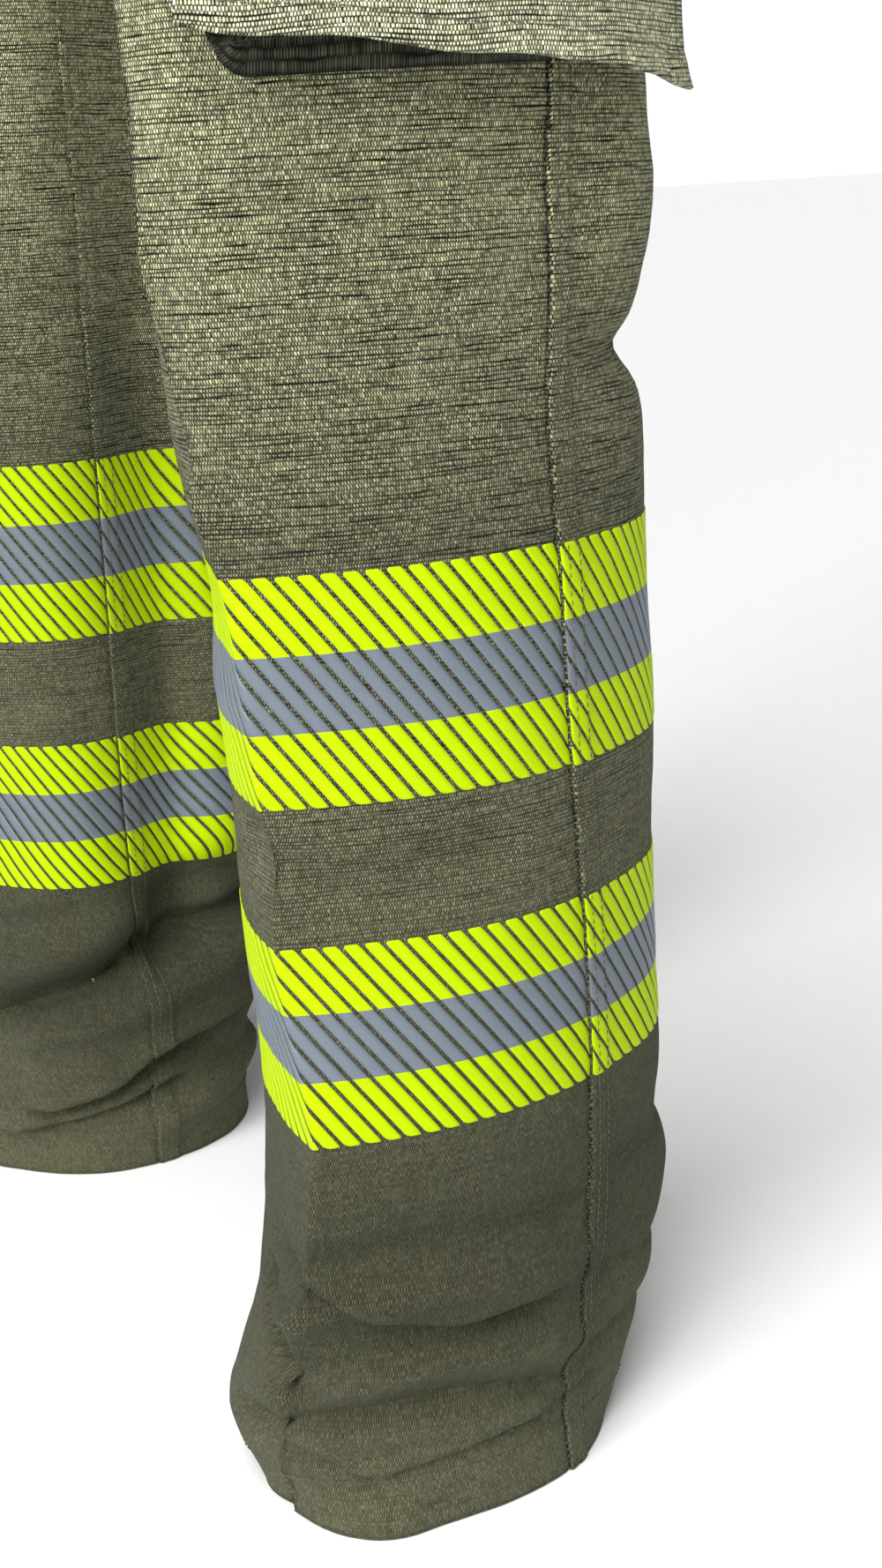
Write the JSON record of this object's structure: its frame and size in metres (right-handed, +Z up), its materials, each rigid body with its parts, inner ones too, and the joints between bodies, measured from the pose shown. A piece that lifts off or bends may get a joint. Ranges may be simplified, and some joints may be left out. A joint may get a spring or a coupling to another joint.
{
  "type": "bunker pants",
  "caption": "Woven work trousers with pressed leg creases, slit reflective trim bands, bellows thigh pockets with hinged flaps, zip fly under a flap, and waist take-up straps.",
  "frame": {"origin": "on the floor, midway between the two hems", "axes": "+Z up along the garment's height, the front faces -Y, the wearer's left side is +X"},
  "size_m": [0.5674, 0.2771, 1.045],
  "materials": {
    "shell_fabric": "matt olive woven cloth",
    "liner_fabric": "quilted natural aramid",
    "trim_tape": "fluorescent lime with a silver-grey middle stripe",
    "hook_loop": "napped tape",
    "webbing": "flat webbing",
    "brass": "antiqued",
    "steel": "nickel plated",
    "zipper_tape": "dark tape with moulded teeth"
  },
  "bodies": {
    "garment": {"belt_loop_back": "shell_fabric", "belt_loop_front_left": "shell_fabric", "belt_loop_front_right": "shell_fabric", "belt_loop_side_left": "shell_fabric", "belt_loop_side_right": "shell_fabric", "brace_button_back_left": "brass", "brace_button_back_right": "brass", "brace_button_front_left": "brass", "brace_button_front_right": "brass", "brace_button_side_left": "brass", "brace_button_side_right": "brass", "fly_shield": "shell_fabric", "hanger_loop": "webbing", "left_back_panel": "shell_fabric", "left_front_panel": "shell_fabric", "left_hem": "shell_fabric", "left_liner": "liner_fabric", "left_lower_trim_back": "trim_tape", "left_lower_trim_front": "trim_tape", "left_pocket_face": "shell_fabric", "left_pocket_gusset": "shell_fabric", "left_pocket_loop_tape": "hook_loop", "left_takeup_chape": "webbing", "left_takeup_ring": "steel", "left_takeup_strap": "webbing", "left_upper_trim_back": "trim_tape", "left_upper_trim_front": "trim_tape", "right_back_panel": "shell_fabric", "right_front_panel": "shell_fabric", "right_hem": "shell_fabric", "right_liner": "liner_fabric", "right_lower_trim_back": "trim_tape", "right_lower_trim_front": "trim_tape", "right_pocket_face": "shell_fabric", "right_pocket_gusset": "shell_fabric", "right_pocket_loop_tape": "hook_loop", "right_takeup_chape": "webbing", "right_takeup_ring": "steel", "right_takeup_strap": "webbing", "right_upper_trim_back": "trim_tape", "right_upper_trim_front": "trim_tape", "waist_snap_stud": "brass", "waistband": "shell_fabric", "zipper_tape_left": "zipper_tape", "zipper_tape_right": "zipper_tape"},
    "left_pocket_flap_body": {"left_pocket_flap": "shell_fabric", "left_flap_hook_tape": "hook_loop"},
    "right_pocket_flap_body": {"right_pocket_flap": "shell_fabric", "right_flap_hook_tape": "hook_loop"},
    "fly_flap_body": {"fly_flap": "shell_fabric", "waist_snap_cap": "brass"},
    "zipper_slider_body": {"zipper_slider": "steel"},
    "zipper_pull_body": {"zipper_pull": "steel"},
    "left_takeup_tail_body": {"left_takeup_tail": "webbing"},
    "right_takeup_tail_body": {"right_takeup_tail": "webbing"}
  },
  "joints": [
    {"name": "left_pocket_flap_hinge", "type": "hinge", "parent": "garment", "child": "left_pocket_flap_body", "pos_m": [0.21409, -0.02204, 0.795], "axis": [-0.1624, -0.9867, 0], "range_deg": [0, 120]},
    {"name": "right_pocket_flap_hinge", "type": "hinge", "parent": "garment", "child": "right_pocket_flap_body", "pos_m": [-0.21409, -0.02204, 0.795], "axis": [-0.1624, 0.9867, 0], "range_deg": [0, 120]},
    {"name": "fly_flap_hinge", "type": "hinge", "parent": "garment", "child": "fly_flap_body", "pos_m": [0.0405, -0.1276, 0.9565], "axis": [0, 0, 1], "range_deg": [0, 110]},
    {"name": "zipper_slide", "type": "slide", "parent": "garment", "child": "zipper_slider_body", "axis": [0, 0, -1], "range_m": [0, 0.098]},
    {"name": "zipper_pull_hinge", "type": "hinge", "parent": "zipper_slider_body", "child": "zipper_pull_body", "pos_m": [0, -0.12855, 0.988], "axis": [-1, 0, 0], "range_deg": [0, 9]},
    {"name": "left_takeup_tail_hinge", "type": "hinge", "parent": "garment", "child": "left_takeup_tail_body", "pos_m": [0.16938, 0.05963, 1.023], "axis": [0.1893, 0.0058, -0.9819], "range_deg": [0, 120]},
    {"name": "right_takeup_tail_hinge", "type": "hinge", "parent": "garment", "child": "right_takeup_tail_body", "pos_m": [-0.16938, 0.05963, 1.023], "axis": [0.1893, -0.0058, 0.9819], "range_deg": [0, 120]}
  ]
}
